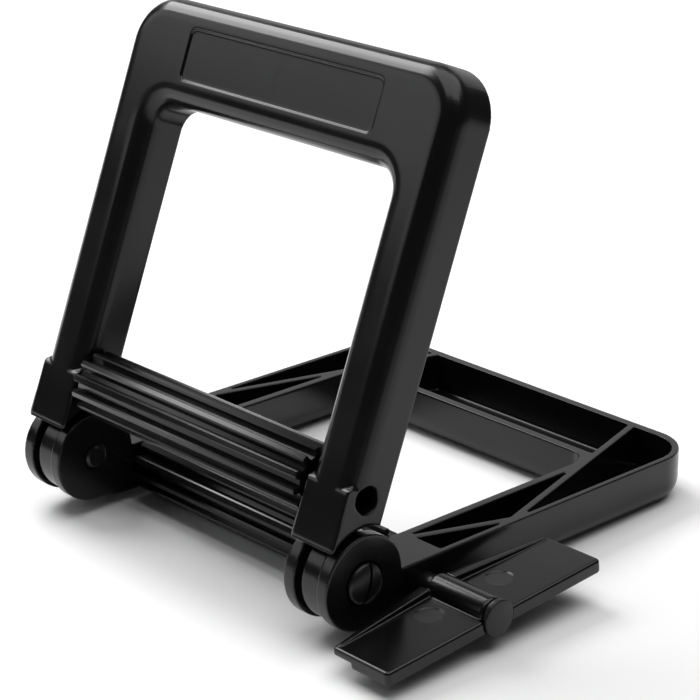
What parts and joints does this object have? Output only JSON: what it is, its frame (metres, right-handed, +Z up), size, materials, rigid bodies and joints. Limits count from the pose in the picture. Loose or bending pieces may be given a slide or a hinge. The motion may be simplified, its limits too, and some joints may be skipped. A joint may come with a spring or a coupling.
{
  "type": "tube squeezer",
  "caption": "Hand-held tube squeezer: hinged moulded handle frames carrying fluted rollers that pinch and wind a flattened tube, turned by a wing key.",
  "frame": {"origin": "bottom centre of the bounding box, on the surface the tool lies on", "axes": "+X along the hinge towards the wing key, +Y from the hinge along the lower frame, +Z up"},
  "size_m": [0.1166, 0.1098, 0.1049],
  "materials": {
    "black_moulded_plastic": "satin-gloss moulded black plastic",
    "satin_roller_plastic": "satin moulded black plastic",
    "matt_pin_plastic": "matt black plastic"
  },
  "bodies": {
    "base": {"lower_frame": "black_moulded_plastic", "hinge_pin_left": "matt_pin_plastic", "hinge_pin_right": "matt_pin_plastic"},
    "upper": {"upper_frame": "black_moulded_plastic"},
    "drive": {"lower_roller": "satin_roller_plastic", "drive_shaft": "matt_pin_plastic", "wing_key": "black_moulded_plastic"},
    "idler": {"upper_roller": "satin_roller_plastic", "upper_axle": "matt_pin_plastic"}
  },
  "joints": [
    {"name": "frame_hinge", "type": "hinge", "parent": "base", "child": "upper", "pos_m": [-0.00923, -0.0421, 0.01255], "axis": [1, 0, 0], "range_deg": [-55.5, 111.5]},
    {"name": "key_turn", "type": "hinge", "parent": "base", "child": "drive", "pos_m": [-0.00923, -0.02641, 0.0069], "axis": [1, 0, 0], "continuous": true},
    {"name": "idler_turn", "type": "hinge", "parent": "upper", "child": "idler", "pos_m": [-0.00923, -0.04098, 0.02918], "axis": [1, 0, 0], "continuous": true}
  ]
}
